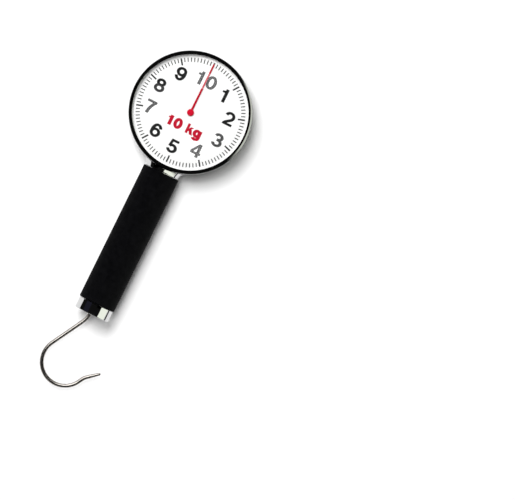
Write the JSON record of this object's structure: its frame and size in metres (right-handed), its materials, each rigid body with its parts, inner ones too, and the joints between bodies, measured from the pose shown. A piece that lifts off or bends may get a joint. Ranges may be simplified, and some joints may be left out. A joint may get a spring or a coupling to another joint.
{
  "type": "dial fish scale",
  "caption": "Mechanical hanging scale with a round clock-face dial, foam grip handle and pull-down wire hook that turns the pointer through a rack and pinion.",
  "frame": {"origin": "on the flat back cover, under the pointer's axis", "axes": "+Z out of the dial, +Y towards the ten at the top of the dial, so the handle and the hook run along -Y; +X towards the right of the dial"},
  "size_m": [0.094, 0.278, 0.029],
  "materials": {
    "chrome": "mirror polished",
    "clear_lens": "clear gloss",
    "gasket_rubber": "matte",
    "white_plastic": "satin white",
    "dial_paint": "satin white",
    "pointer_red": "satin red",
    "grip_foam": "closed-cell foam, fine matte skin",
    "steel": "bright zinc",
    "hook_steel": "polished stainless wire",
    "spring_steel": "oiled spring steel",
    "brass": "machined",
    "nylon": "natural"
  },
  "bodies": {
    "frame": {"bezel": "chrome", "lens": "clear_lens", "lens_gasket": "gasket_rubber", "dial_spacer": "white_plastic", "dial_plate": "dial_paint", "head_can": "chrome", "back_cover": "chrome", "case_screw_1": "steel", "case_screw_2": "steel", "case_screw_3": "steel", "case_screw_4": "steel", "movement_base": "steel", "movement_front_plate": "brass", "pillar_1": "brass", "pillar_2": "brass", "pillar_3": "brass", "pillar_4": "brass", "movement_screw_1": "steel", "movement_screw_2": "steel", "movement_screw_3": "steel", "movement_screw_4": "steel", "rack_guide": "nylon", "guide_screw_1": "steel", "guide_screw_2": "steel", "neck_collar": "chrome", "collar_screw_1": "steel", "collar_screw_2": "steel", "handle_tube": "steel", "foam_grip": "grip_foam", "end_cap": "chrome", "end_bush": "nylon", "main_spring": "spring_steel"},
    "slider": {"draw_rod": "steel", "rack": "brass", "rack_rivet_1": "steel", "rack_rivet_2": "steel", "calibration_nut": "brass", "spring_washer": "steel", "hook": "hook_steel", "hook_pin": "steel"},
    "pointer": {"pointer_arbor": "steel", "pinion": "brass", "pointer": "pointer_red", "hub_cap": "pointer_red"}
  },
  "joints": [
    {"name": "hook_pull", "type": "slide", "parent": "frame", "child": "slider", "axis": [0, -1, 0], "range_m": [0, 0.02199], "stiffness_N_per_m": 4460, "deforming": ["main_spring"]},
    {"name": "pointer_turn", "type": "hinge", "parent": "frame", "child": "pointer", "pos_m": [0, 0, 0.0229], "axis": [0, 0, 1], "range_deg": [-360, 0]}
  ],
  "couplings": [
    {"joint": "pointer_turn", "follows": "hook_pull", "rad_per_m": -285.71}
  ]
}
